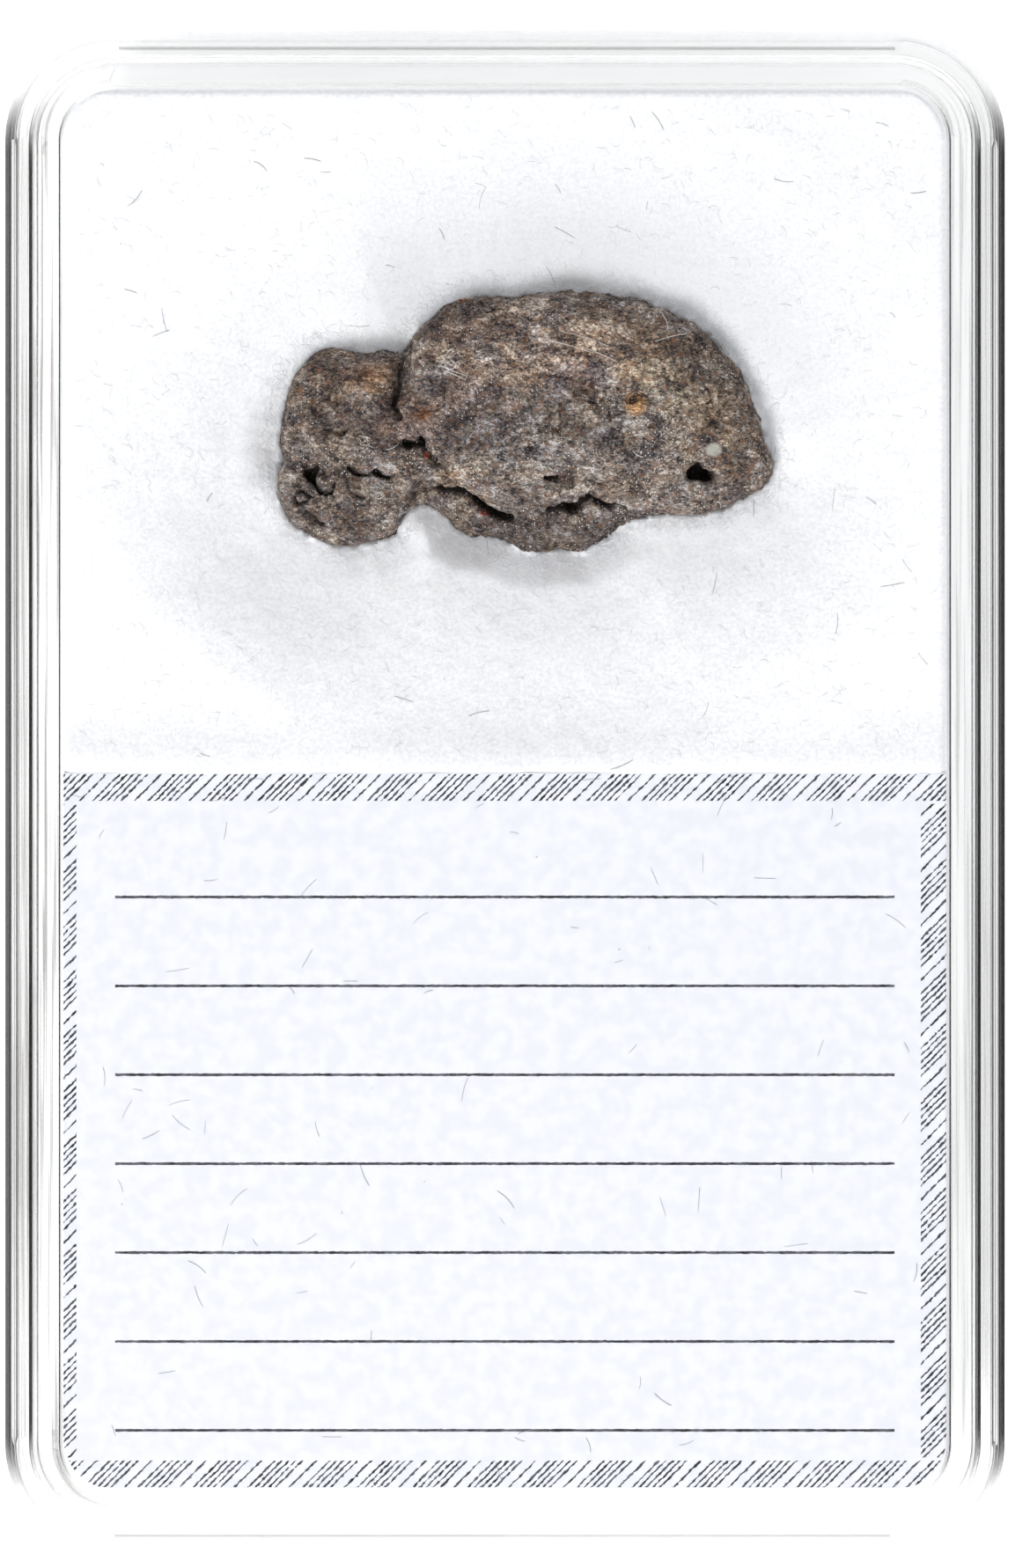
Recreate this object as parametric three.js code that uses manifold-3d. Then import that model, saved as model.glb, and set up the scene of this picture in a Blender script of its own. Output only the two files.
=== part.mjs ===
// A small lunar meteorite in its clear two-part specimen box, lying on a white foam pad above a label card.
// Millimetres, +Z up. The origin is the centre of the underside, +Y runs along the box, away from the label.
import * as THREE from "three";
import { mergeVertices } from "three/addons/utils/BufferGeometryUtils.js";
import { ImprovedNoise } from "three/addons/math/ImprovedNoise.js";
import Module from "manifold-3d";

// The box
const BOX_WIDTH = 40;
const BOX_LENGTH = 61;
const BOX_HEIGHT = 18;
const CORNER_RADIUS = 4.4;
const EDGE_RADIUS = 0.7;
const LID_WALL = 0.95;
const NECK_WALL = 0.95;
const PLATE = 1.2;
const SHOULDER_HEIGHT = 7.6;
const CLEARANCE = 0.3;

// What lies in it
const CARD_THICKNESS = 0.3;
const CARD_LENGTH = 28.7;
const CARD_FAR_EDGE = 0.8;
const CARD_CORNER = 2;
const CARD_FAR_CORNER = 0.2;
const FOAM_EDGE = 0.6;
const LEAST_CORNER = 1.6;
const FOOT_RECESS = 0.3;
const FOOT_WIDTH = 2.4;

// The stone: its middle in the box, its thickness above and below the rim, and the foam's dip round it
const STONE_CENTRE = new THREE.Vector2(0.83, 14.8);
const STONE_ABOVE_RIM = 3.15;
const STONE_BELOW_RIM = 2.75;
const DIP_DEPTH = 3.1;
const DIP_REACH = 5.2;
const DIP_HALF_LENGTH = 10.1;
const DIP_HALF_WIDTH = 5.7;
const DIP_CURVE = 2.2;
const DIP_WAVES = 3;
const DIP_WAVE_SHARE = 0.08;
const DIP_WAVE_TURN = 0.6;
const BED_GAP = 0.4;

// Smoothness of the curved surfaces
const CORNER_STEPS = 6;
const EDGE_STEPS = 3;
const STONE_STEPS = [48, 58];
const BED_STEPS = [30, 24];
const DIP_STEPS = 48;
const DIP_RINGS = 8;
// Corners nearer than this are one, and a cutting block runs this far past what it cuts
const WELD = 1e-4;
const OVERCUT = 1;

// Levels that follow from the sizes above
const LID_UNDERSIDE = BOX_HEIGHT - PLATE;
const LID_FOOT = SHOULDER_HEIGHT + CLEARANCE;
const NECK_TOP = LID_UNDERSIDE - CLEARANCE;
const NECK_INSET = LID_WALL + CLEARANCE;
const INNER_INSET = NECK_INSET + NECK_WALL;
const CARD_TOP = LID_UNDERSIDE - CLEARANCE;
const FOAM_TOP = CARD_TOP - CARD_THICKNESS - CLEARANCE;
const CONTENT_INSET = INNER_INSET + CLEARANCE;
const STONE_RIM = LID_UNDERSIDE - CLEARANCE - STONE_ABOVE_RIM;

const wasm = await Module();
wasm.setup();

// Solids: from a closed three.js geometry to manifold-3d and back
function solidFrom(geometry) {
  const bare = geometry.clone();
  for (const name of Object.keys(bare.attributes)) {
    if (name !== "position") bare.deleteAttribute(name);
  }
  const merged = mergeVertices(bare, WELD);
  return new wasm.Manifold(
    new wasm.Mesh({
      numProp: 3,
      vertProperties: new Float32Array(merged.attributes.position.array),
      triVerts: new Uint32Array(merged.index.array),
    }),
  );
}

function geometryFrom(solid) {
  const mesh = solid.getMesh();
  const corners = new Float32Array(mesh.numVert * 3);
  for (let i = 0; i < mesh.numVert; i++) {
    corners.set(mesh.vertProperties.subarray(i * mesh.numProp, i * mesh.numProp + 3), i * 3);
  }
  return new THREE.BufferGeometry()
    .setAttribute("position", new THREE.BufferAttribute(corners, 3))
    .setIndex(new THREE.BufferAttribute(mesh.triVerts, 1));
}

// A rectangle with its own radius at the top corners and at the bottom corners
function roundedRectangle(width, length, bottomRadius, topRadius = bottomRadius) {
  const x = width / 2;
  const y = length / 2;
  const shape = new THREE.Shape();
  shape.moveTo(-x + bottomRadius, -y);
  shape.lineTo(x - bottomRadius, -y);
  shape.absarc(x - bottomRadius, -y + bottomRadius, bottomRadius, -Math.PI / 2, 0);
  shape.lineTo(x, y - topRadius);
  shape.absarc(x - topRadius, y - topRadius, topRadius, 0, Math.PI / 2);
  shape.lineTo(-x + topRadius, y);
  shape.absarc(-x + topRadius, y - topRadius, topRadius, Math.PI / 2, Math.PI);
  shape.lineTo(-x, -y + bottomRadius);
  shape.absarc(-x + bottomRadius, -y + bottomRadius, bottomRadius, Math.PI, Math.PI * 1.5);
  return shape;
}

// A block of the box's plan, drawn in by an inset, from one level to another
function block(inset, low, high, edge = 0) {
  const shape = roundedRectangle(
    BOX_WIDTH - 2 * inset,
    BOX_LENGTH - 2 * inset,
    Math.max(CORNER_RADIUS - inset, LEAST_CORNER),
  );
  const geometry = new THREE.ExtrudeGeometry(shape, {
    depth: high - low - 2 * edge,
    curveSegments: CORNER_STEPS,
    bevelEnabled: edge > 0,
    bevelThickness: edge,
    bevelSize: edge,
    bevelOffset: -edge,
    bevelSegments: EDGE_STEPS,
  });
  return solidFrom(geometry.translate(0, 0, low + edge));
}

// The tray: a full-width foot with a shoulder, and a thinner neck that the lid slips over
function makeTray() {
  const foot = block(0, 0, SHOULDER_HEIGHT + EDGE_RADIUS, EDGE_RADIUS);
  const aboveShoulder = block(-OVERCUT, SHOULDER_HEIGHT, SHOULDER_HEIGHT + 2 * EDGE_RADIUS);
  const neck = block(NECK_INSET, PLATE, NECK_TOP);
  const hollow = block(INNER_INSET, PLATE, BOX_HEIGHT);
  const recess = block(FOOT_WIDTH, -OVERCUT, FOOT_RECESS);
  return foot.subtract(aboveShoulder).add(neck).subtract(hollow).subtract(recess);
}

// The lid: a flat clear top with a skirt that stands on the tray's shoulder
function makeLid() {
  const outside = block(0, LID_FOOT - 2 * EDGE_RADIUS, BOX_HEIGHT, EDGE_RADIUS);
  const belowFoot = block(-OVERCUT, LID_FOOT - 3 * EDGE_RADIUS, LID_FOOT);
  const hollow = block(LID_WALL, LID_FOOT - OVERCUT, LID_UNDERSIDE);
  return outside.subtract(belowFoot).subtract(hollow);
}

// The label card lies against the -Y end, with its two outer corners rounded to clear the neck's corners
function makeCard() {
  const width = BOX_WIDTH - 2 * CONTENT_INSET;
  const shape = roundedRectangle(width, CARD_LENGTH, CARD_CORNER, CARD_FAR_CORNER);
  const geometry = new THREE.ExtrudeGeometry(shape, {
    depth: CARD_THICKNESS,
    curveSegments: CORNER_STEPS,
    bevelEnabled: false,
  });
  return solidFrom(geometry.translate(0, CARD_FAR_EDGE - CARD_LENGTH / 2, CARD_TOP - CARD_THICKNESS));
}

// The stone's plan as stations from its left end to its right end.
// Each holds the far edge's x and y and the near edge's x and y, from the stone's middle.
const STATIONS = [
  [-9.75, -0.7, -9.75, -0.7],
  [-9.6, 1.4, -9.8, -3.25],
  [-8.9, 2.4, -9.3, -4.15],
  [-8.4, 2.85, -8.65, -4.6],
  [-7.5, 3.05, -7.8, -5.0],
  [-6.2, 2.9, -6.75, -4.85],
  [-5.6, 2.95, -5.75, -4.6],
  [-5.1, 2.85, -5.05, -4.25],
  [-4.8, 3.35, -4.6, -3.35],
  [-4.35, 3.85, -4.0, -3.3],
  [-3.7, 4.25, -3.35, -3.6],
  [-3.15, 4.7, -2.7, -4.0],
  [-2.55, 5.0, -2.3, -4.45],
  [-1.85, 5.15, -1.45, -4.7],
  [-0.3, 5.15, 0.2, -5.05],
  [1.25, 5.35, 1.6, -5.15],
  [2.0, 5.4, 2.3, -5.05],
  [2.85, 5.3, 2.85, -4.8],
  [3.7, 5.1, 3.35, -4.35],
  [4.6, 5.0, 3.85, -4.0],
  [5.3, 4.75, 4.6, -3.85],
  [6.85, 4.0, 6.3, -3.75],
  [7.55, 3.4, 7.2, -3.6],
  [8.25, 2.55, 8.05, -3.4],
  [8.8, 1.6, 8.75, -3.05],
  [9.2, 0.65, 9.25, -2.7],
  [9.55, -0.4, 9.65, -2.2],
  [9.8, -1.45, 9.8, -1.45],
];
// How far round the stone's ends the first and last stations stand, as a share of the whole length
const LEFT_CAP = 0.11;
const RIGHT_CAP = 0.075;
// The cross-section: how full it is (2 is an ellipse), how evenly its corners lie, and the rim's rise and fall
const FULLNESS = 2.25;
const EVENNESS = 0.55;
const RIM_WAVE = 0.35;
const RIM_WAVE_PITCH = 0.25;
const RIM_WAVE_SHIFT = 2.5;
const TOP_SHARE = 0.64;
// How much thinner the stone is towards each end, and where the thinning starts and is complete
const LEFT_THINNING = { share: 0.16, from: 3.6, to: 5.6 };
const RIGHT_THINNING = { share: 0.14, from: 5.5, to: 9.5 };
// Upward slopes that carry no relief of the top, and those that carry all of it
const RELIEF_SLOPES = [-0.3, 0.25];
// Broad, middle and small roughness: height, pitch and the shift of its pattern
const ROUGHNESS = [
  { height: 0.22, pitch: 0.42, shift: [5, 0, 0] },
  { height: 0.13, pitch: 1.1, shift: [0, 9, 0] },
  { height: 0.07, pitch: 2.3, shift: [0, 0, 3] },
];

// Dark seams and cracks on the top: the points that each follows, its half width and its depth
const CRACKS = [
  { line: [[-5.0, 3.3], [-4.95, 2.1], [-5.15, 1.0], [-5.0, 0.1]], width: 0.26, depth: 0.5 },
  { line: [[-4.0, -1.0], [-3.5, -1.7], [-3.1, -2.5]], width: 0.22, depth: 0.3 },
  { line: [[-5.2, -3.1], [-4.2, -2.9], [-3.4, -2.55]], width: 0.22, depth: 0.4 },
  { line: [[-3.9, -2.6], [-2.6, -2.85], [-1.6, -3.5], [-0.8, -3.9], [-0.1, -3.95]], width: 0.3, depth: 0.95 },
  { line: [[0.9, -3.45], [1.9, -3.4], [2.7, -3.1], [3.7, -3.35]], width: 0.26, depth: 0.75 },
  { line: [[-6.9, -1.6], [-6.2, -1.9], [-5.5, -2.2]], width: 0.22, depth: 0.3 },
  { line: [[-9.9, -1.4], [-9.2, -1.5], [-8.4, -1.9], [-7.9, -2.6]], width: 0.3, depth: 0.45 },
  { line: [[1.0, -2.3], [2.2, -2.2], [3.2, -2.4]], width: 0.2, depth: 0.22 },
];
// Pits on the top: place, half width and depth
const PITS = [
  [7.1, -2.05, 0.42, 0.75],
  [-4.6, -0.85, 0.34, 0.45],
  [-7.7, -0.1, 0.26, 0.35],
  [-8.7, -2.1, 0.3, 0.55],
  [-7.4, -3.4, 0.28, 0.4],
  [-8.75, -3.9, 0.25, 0.3],
  [-7.0, -4.1, 0.28, 0.3],
  [4.3, 0.85, 0.4, 0.18],
];
// Lumps and hollows of the top: place, half widths along x and y, and height (below 0 is a hollow)
const LUMPS = [
  [-7.6, 1.6, 1.1, 0.9, 0.25],
  [-8.4, 1.2, 0.7, 0.8, -0.3],
  [-6.3, 0.4, 1.0, 0.8, 0.2],
  [-8.0, -2.9, 0.45, 0.5, 0.4],
  [-9.0, -3.2, 0.45, 0.5, 0.3],
  [-6.2, -3.2, 0.9, 0.7, 0.35],
  [-5.6, -1.5, 0.7, 0.5, 0.25],
  [-2.0, 2.4, 2.2, 1.5, 0.2],
  [3.2, 2.8, 2.6, 1.3, 0.2],
  [0.6, 0.3, 2.6, 0.8, -0.2],
  [6.2, 0.6, 1.6, 1.4, 0.15],
  [-1.6, -1.8, 2.0, 0.8, 0.25],
  [2.8, -1.3, 2.0, 0.9, 0.15],
  [8.2, -1.8, 1.0, 1.0, 0.1],
];
// The low shelf in front of the long crack: the line of its foot, from left to right, and its drop
const SHELF_LINE = [
  [-4.4, -2.7],
  [-2.6, -2.95],
  [-1.6, -3.55],
  [-0.5, -3.95],
  [0.9, -3.55],
  [2.7, -3.2],
  [3.9, -3.5],
];
const SHELF_DROP = 1.15;
const SHELF_SLOPE = [-0.1, 0.45];
const SHELF_START = [-4.9, -3.9];
const SHELF_END = [3.6, 4.6];

const noise = new ImprovedNoise();

function smoothstep(low, high, value) {
  return THREE.MathUtils.smoothstep(value, low, high);
}

// How far a point lies from a line of points, and on which side of it (positive on the near side)
function distanceToLine(x, y, line) {
  let best = Infinity;
  let side = 1;
  for (let i = 0; i + 1 < line.length; i++) {
    const [ax, ay] = line[i];
    const [bx, by] = line[i + 1];
    const along = ((x - ax) * (bx - ax) + (y - ay) * (by - ay)) / ((bx - ax) ** 2 + (by - ay) ** 2);
    const t = THREE.MathUtils.clamp(along, 0, 1);
    const distance = Math.hypot(x - ax - t * (bx - ax), y - ay - t * (by - ay));
    if (distance < best) {
      best = distance;
      side = Math.sign((bx - ax) * (ay - y) - (by - ay) * (ax - x)) || 1;
    }
  }
  return { distance: best, side };
}

function bell(distance, width) {
  return Math.exp(-((distance / width) ** 2));
}

// The roughness of the stone's faces, the same on every side
function roughness(x, y, z) {
  let height = 0;
  for (const { height: most, pitch, shift } of ROUGHNESS) {
    height += most * noise.noise(x * pitch + shift[0], y * pitch + shift[1], z * pitch + shift[2]);
  }
  return height;
}

// How far the top stands out or sinks in at a place, along its normal
function topRelief(x, y) {
  let height = 0;
  for (const [cx, cy, wx, wy, lift] of LUMPS) {
    height += lift * bell(Math.hypot((x - cx) / wx, (y - cy) / wy), 1);
  }
  for (const { line, width, depth } of CRACKS) {
    height -= depth * bell(distanceToLine(x, y, line).distance, width);
  }
  for (const [cx, cy, width, depth] of PITS) {
    height -= depth * bell(Math.hypot(x - cx, y - cy), width);
  }
  return height;
}

// How far the shelf lies below the form at a place
function shelfDrop(x, y) {
  const shelf = distanceToLine(x, y, SHELF_LINE);
  const ends = smoothstep(...SHELF_START, x) * (1 - smoothstep(...SHELF_END, x));
  return SHELF_DROP * ends * smoothstep(...SHELF_SLOPE, shelf.distance * shelf.side);
}

// A point of the smooth form: along runs from the left end to the right end, round goes about the stone
function formPoint(along, round, farEdge, nearEdge) {
  const last = STATIONS.length - 1;
  let place;
  if (along < LEFT_CAP) {
    place = along / LEFT_CAP;
  } else if (along > 1 - RIGHT_CAP) {
    place = last - (1 - along) / RIGHT_CAP;
  } else {
    const share = (along - LEFT_CAP) / (1 - LEFT_CAP - RIGHT_CAP);
    const start = STATIONS[1][0];
    const x = start + share * (STATIONS[last - 1][0] - start);
    let i = 1;
    while (i < last - 2 && STATIONS[i + 1][0] < x) i++;
    place = i + (x - STATIONS[i][0]) / (STATIONS[i + 1][0] - STATIONS[i][0]);
  }
  const far = farEdge.getPoint(place / last);
  const near = nearEdge.getPoint(place / last);
  const onTop = round < Math.PI;
  const turned = onTop ? round : 2 * Math.PI - round;
  const across = THREE.MathUtils.lerp(Math.cos(turned), 1 - (2 * turned) / Math.PI, EVENNESS);
  const up = (1 - Math.abs(across) ** FULLNESS) ** (1 / FULLNESS);
  const point = new THREE.Vector3().lerpVectors(near, far, (1 + across) / 2);
  const ends = Math.sin(Math.PI * THREE.MathUtils.clamp(along, 0, 1)) ** 0.5;
  const left = LEFT_THINNING.share * smoothstep(LEFT_THINNING.from, LEFT_THINNING.to, -point.x);
  const right = RIGHT_THINNING.share * smoothstep(RIGHT_THINNING.from, RIGHT_THINNING.to, point.x);
  point.z = up * ends * (onTop ? STONE_ABOVE_RIM * (1 - left - right) : -STONE_BELOW_RIM);
  point.z += RIM_WAVE * noise.noise(point.x * RIM_WAVE_PITCH, RIM_WAVE_SHIFT, 0) * (1 - up) * ends;
  return point;
}

// The stone's surface as a closed geometry about its middle; grown makes it larger all round
function stoneGeometry([stepsRound, stepsAlong], grown = 0) {
  const farEdge = new THREE.CatmullRomCurve3(STATIONS.map((s) => new THREE.Vector3(s[0], s[1], 0)));
  const nearEdge = new THREE.CatmullRomCurve3(STATIONS.map((s) => new THREE.Vector3(s[2], s[3], 0)));
  const sphere = new THREE.SphereGeometry(1, stepsRound, stepsAlong);
  const { position, uv } = sphere.attributes;
  for (let i = 0; i < position.count; i++) {
    const turn = (2 - uv.getX(i)) % 1;
    const halfTurns = turn < TOP_SHARE ? turn / TOP_SHARE : 1 + (turn - TOP_SHARE) / (1 - TOP_SHARE);
    const point = formPoint(1 - uv.getY(i), Math.PI * halfTurns, farEdge, nearEdge);
    position.setXYZ(i, point.x, point.y, point.z);
  }
  sphere.deleteAttribute("uv");
  sphere.deleteAttribute("normal");
  const stone = mergeVertices(sphere, WELD);
  stone.computeVertexNormals();
  const corner = new THREE.Vector3();
  const normal = new THREE.Vector3();
  for (let i = 0; i < stone.attributes.position.count; i++) {
    corner.fromBufferAttribute(stone.attributes.position, i);
    normal.fromBufferAttribute(stone.attributes.normal, i);
    const top = smoothstep(...RELIEF_SLOPES, normal.z);
    const relief = top * topRelief(corner.x, corner.y) + roughness(corner.x, corner.y, corner.z);
    corner.z -= top * shelfDrop(corner.x, corner.y);
    corner.addScaledVector(normal, relief + grown);
    stone.attributes.position.setXYZ(i, corner.x, corner.y, corner.z);
  }
  return stone;
}

function placeStone(geometry) {
  return geometry.translate(STONE_CENTRE.x, STONE_CENTRE.y, STONE_RIM);
}

// The hollow that the pressed foam forms round the stone: an oval bowl that runs out to the foam's top
function dipTool() {
  const profile = [new THREE.Vector2(0, -DIP_DEPTH)];
  for (let i = 0; i <= DIP_RINGS; i++) {
    const share = i / DIP_RINGS;
    profile.push(new THREE.Vector2(1 + share, -DIP_DEPTH * (1 - share) ** DIP_CURVE));
  }
  profile.push(new THREE.Vector2(2, OVERCUT), new THREE.Vector2(0, OVERCUT));
  const bowl = new THREE.LatheGeometry(profile, DIP_STEPS).rotateX(Math.PI / 2);
  const { position } = bowl.attributes;
  for (let i = 0; i < position.count; i++) {
    const x = position.getX(i);
    const y = position.getY(i);
    const radius = Math.hypot(x, y);
    const inner = Math.min(radius, 1);
    const outer = Math.max(radius - 1, 0) * DIP_REACH;
    const cos = radius > 0 ? x / radius : 0;
    const sin = radius > 0 ? y / radius : 0;
    const wave = 1 + DIP_WAVE_SHARE * Math.sin(Math.atan2(sin, cos) * DIP_WAVES + DIP_WAVE_TURN);
    const length = inner * DIP_HALF_LENGTH + outer * wave;
    const width = inner * DIP_HALF_WIDTH + outer * wave;
    position.setXY(i, cos * length, sin * width);
  }
  return solidFrom(bowl.translate(STONE_CENTRE.x, STONE_CENTRE.y, FOAM_TOP));
}

// The foam pad fills the tray and hollows under the stone
function makeFoam() {
  const pad = block(CONTENT_INSET, PLATE + CLEARANCE, FOAM_TOP, FOAM_EDGE);
  const bed = solidFrom(placeStone(stoneGeometry(BED_STEPS, BED_GAP)));
  return pad.subtract(dipTool()).subtract(bed);
}

function material(color, roughnessValue, opacity = 1) {
  return new THREE.MeshStandardMaterial({
    color,
    roughness: roughnessValue,
    metalness: 0,
    transparent: opacity < 1,
    opacity,
  });
}

const clearPlastic = material(0xf4f7f8, 0.08, 0.3);
const object = new THREE.Group();

function addPiece(name, geometry, finish) {
  const mesh = new THREE.Mesh(geometry, finish);
  mesh.name = name;
  object.add(mesh);
}

addPiece("base_tray", geometryFrom(makeTray()), clearPlastic);
addPiece("lid", geometryFrom(makeLid()), clearPlastic);
addPiece("foam_pad", geometryFrom(makeFoam()), material(0xfbfbfd, 0.95));
addPiece("label_card", geometryFrom(makeCard()), material(0xf6f6fb, 0.7));
addPiece("meteorite", placeStone(stoneGeometry(STONE_STEPS)), material(0x776e66, 0.9));

export default object;
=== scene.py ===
import math
import random

import bmesh
import bpy
from mathutils import Matrix, Vector, kdtree, noise
from mathutils.bvhtree import BVHTree


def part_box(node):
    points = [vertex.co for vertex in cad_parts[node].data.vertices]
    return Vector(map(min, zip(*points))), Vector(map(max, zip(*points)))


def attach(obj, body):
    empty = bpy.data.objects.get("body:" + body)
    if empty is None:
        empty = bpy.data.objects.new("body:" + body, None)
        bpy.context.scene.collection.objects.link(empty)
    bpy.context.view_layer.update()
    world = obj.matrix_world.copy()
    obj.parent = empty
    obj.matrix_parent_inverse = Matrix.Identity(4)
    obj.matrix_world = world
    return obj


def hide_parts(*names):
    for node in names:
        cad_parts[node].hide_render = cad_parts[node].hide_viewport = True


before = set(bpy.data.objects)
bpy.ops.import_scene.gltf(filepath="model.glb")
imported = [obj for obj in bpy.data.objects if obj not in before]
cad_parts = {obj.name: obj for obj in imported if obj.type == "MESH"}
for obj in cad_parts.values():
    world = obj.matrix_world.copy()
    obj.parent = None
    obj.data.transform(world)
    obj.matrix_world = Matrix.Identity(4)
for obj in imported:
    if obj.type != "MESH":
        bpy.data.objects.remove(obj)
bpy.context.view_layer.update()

MM = 0.001

# The box, in millimetres, from the frame
LID_LOW, LID_HIGH = (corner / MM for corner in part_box("lid"))
_, TRAY_HIGH = (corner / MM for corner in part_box("base_tray"))
FOAM_LOW, FOAM_HIGH = (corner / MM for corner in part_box("foam_pad"))
CARD_LOW, CARD_HIGH = (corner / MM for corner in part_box("label_card"))
# The soft foam swells sideways and upwards past its block, and the card fills the lid's width
FOAM_SWELL = Vector((0.22, 0.22, 0))
FOAM_RISE = Vector((0, 0, 0.2))
CARD_SPREAD = Vector((0.17, 0, 0))
FOAM_LOW, FOAM_HIGH = FOAM_LOW - FOAM_SWELL, FOAM_HIGH + FOAM_SWELL + FOAM_RISE
CARD_LOW, CARD_HIGH = CARD_LOW - CARD_SPREAD, CARD_HIGH + CARD_SPREAD
STONE_LOW, STONE_HIGH = (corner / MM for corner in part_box("meteorite"))
BOX_WIDTH = LID_HIGH.x - LID_LOW.x
BOX_LENGTH = LID_HIGH.y - LID_LOW.y
BOX_HEIGHT = LID_HIGH.z
CORNER_RADIUS = 4.4
EDGE_RADIUS = 0.7
RIM_RADIUS = 0.12
LID_WALL = 0.95
NECK_WALL = 0.95
PLATE = 1.2
CLEARANCE = 0.3
NECK_INSET = LID_WALL + CLEARANCE
SHOULDER_HEIGHT = LID_LOW.z - CLEARANCE
FOOT_RECESS = 0.3
FOOT_WIDTH = 2.4
CORNER_STEPS = 14
CEILING_RADIUS = 0.4
TRAY_FLOOR_RADIUS = 0.25

# The clear plastic: how fast its faint lines of painted shade change, where its straight walls end, and where
# its rim starts
LINES_ACROSS = 6.5
LINES_ALONG = 0.05
WALL_DEPTH = 2.5
LONG_WALL_START = 15.0
STRAIGHT_END = 25.0
END_START = 25.5
END_FULL = 28.5
RIM_START = 15.9
PALEST_PLASTIC = (0.985, 0.987, 0.985, 1)
PAINTED_SHADE_TONE = (0.21, 0.2, 0.19, 1)

# The stone's middle, from which its features are placed
STONE_CENTRE = Vector((0.83, 14.8))
GRAIN_VOXEL = 0.082

# The foam and the dip that the stone presses into it
FOAM_STEP = 0.14
FOAM_EDGE = 0.35
FOAM_CORNER = 2.1
DIP_REACH = 9.0
DIP_CURVE = 1.6
OUTLINE_STEP = 0.1
RIM_THICKNESS = 0.9
RIM_SAMPLES = 50
RIM_SETTLING = 1.6
MEAN_RIM = 13.55
CARD_BULGE = 0.46
CARD_OVERLAP = 0.15
CARD_BULGE_LENGTH = 1.6
# FOAM_GLOW and GLOW_REACH: the strength and reach of a painted glow on the foam close beside the stone
FOAM_GLOW = 0.22
GLOW_REACH = 2.6
STONE_OVAL = Vector((9.9, 5.3))
OVAL_SETTLING = 6.5
FOAM_SAG = 0.07
BED_GAP = 0.06
FUZZ_COUNT = 2800
LINT_COUNT = 120

# The card and its printed border
CARD_CORNER = 2.0
BORDER_WIDTH = 1.02
CUT_BORDER_WIDTH = 0.52
LEFT_SHIFT = 1.86
RIGHT_SHIFT = 3.2
NEAR_SHIFT = -2.7
STROKE_PITCH = 0.2746
STROKES_START = 100.3
STROKES_IN_TURN = 8.0
LAST_LINE = -25.55
LINE_PITCH = 3.56
LINE_COUNT = 7
LINE_HALF_LENGTH = 15.6

# The camera looks straight down from far off, centred a little beside the box's middle
VIEW_CENTRE = Vector((0.106, 0.335))
VIEW_LENGTH = 62.75
CAMERA_DISTANCE = 500.0
SENSOR = 36.0

# The light: the key lamp's power, and how bright the pale room and the floor are
KEY_POWER = 3.6
ROOM_LIGHT = 1.25
FLOOR_GLOW = 0.5


# Colours

def srgb(red, green, blue):
    """A linear colour from the 0 to 255 values that a picture shows."""
    def linear(value):
        share = value / 255
        return share / 12.92 if share <= 0.04045 else ((share + 0.055) / 1.055) ** 2.4
    return (linear(red), linear(green), linear(blue), 1.0)


# Shader nodes

def add_node(tree, kind, inputs=None, **settings):
    made = tree.nodes.new(kind)
    for name, value in settings.items():
        setattr(made, name, value)
    for key, value in (inputs or {}).items():
        if isinstance(value, bpy.types.NodeSocket):
            tree.links.new(value, made.inputs[key])
        else:
            made.inputs[key].default_value = value
    return made


def math_node(tree, operation, first, second=0.5, third=0.5):
    return add_node(tree, "ShaderNodeMath", {0: first, 1: second, 2: third}, operation=operation).outputs[0]


def mix_colour(tree, share, first, second, blend="MIX"):
    inputs = {0: share, 6: first, 7: second}
    return add_node(tree, "ShaderNodeMix", inputs, data_type="RGBA", blend_type=blend).outputs[2]


def between(tree, value, low, high):
    """0 below low, 1 above high, and a smooth rise between them."""
    inputs = {"Value": value, "From Min": low, "From Max": high}
    made = add_node(tree, "ShaderNodeMapRange", inputs, interpolation_type="SMOOTHSTEP")
    return made.outputs["Result"]


def place_in_mm(tree, offset=(0, 0, 0), stretch=(1, 1, 1)):
    """The piece's own coordinates in millimetres from a place, stretched along each axis."""
    coordinates = add_node(tree, "ShaderNodeTexCoord").outputs["Object"]
    scale = Vector(stretch) / MM
    moved = Vector((-offset[i] * stretch[i] for i in range(3)))
    inputs = {"Vector": coordinates, "Location": moved, "Scale": scale}
    return add_node(tree, "ShaderNodeMapping", inputs).outputs["Vector"]


def new_group(name, inputs, outputs):
    group = bpy.data.node_groups.new(name, "ShaderNodeTree")
    for label, kind in inputs:
        group.interface.new_socket(label, in_out="INPUT", socket_type=kind)
    for label, kind in outputs:
        group.interface.new_socket(label, in_out="OUTPUT", socket_type=kind)
    entry = group.nodes.new("NodeGroupInput")
    result = group.nodes.new("NodeGroupOutput")
    return group, entry, result


def use_group(tree, group, **values):
    made = tree.nodes.new("ShaderNodeGroup")
    made.node_tree = group
    for label, value in values.items():
        socket = made.inputs[label]
        if isinstance(value, bpy.types.NodeSocket):
            tree.links.new(value, socket)
        else:
            socket.default_value = value
    return made


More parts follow.
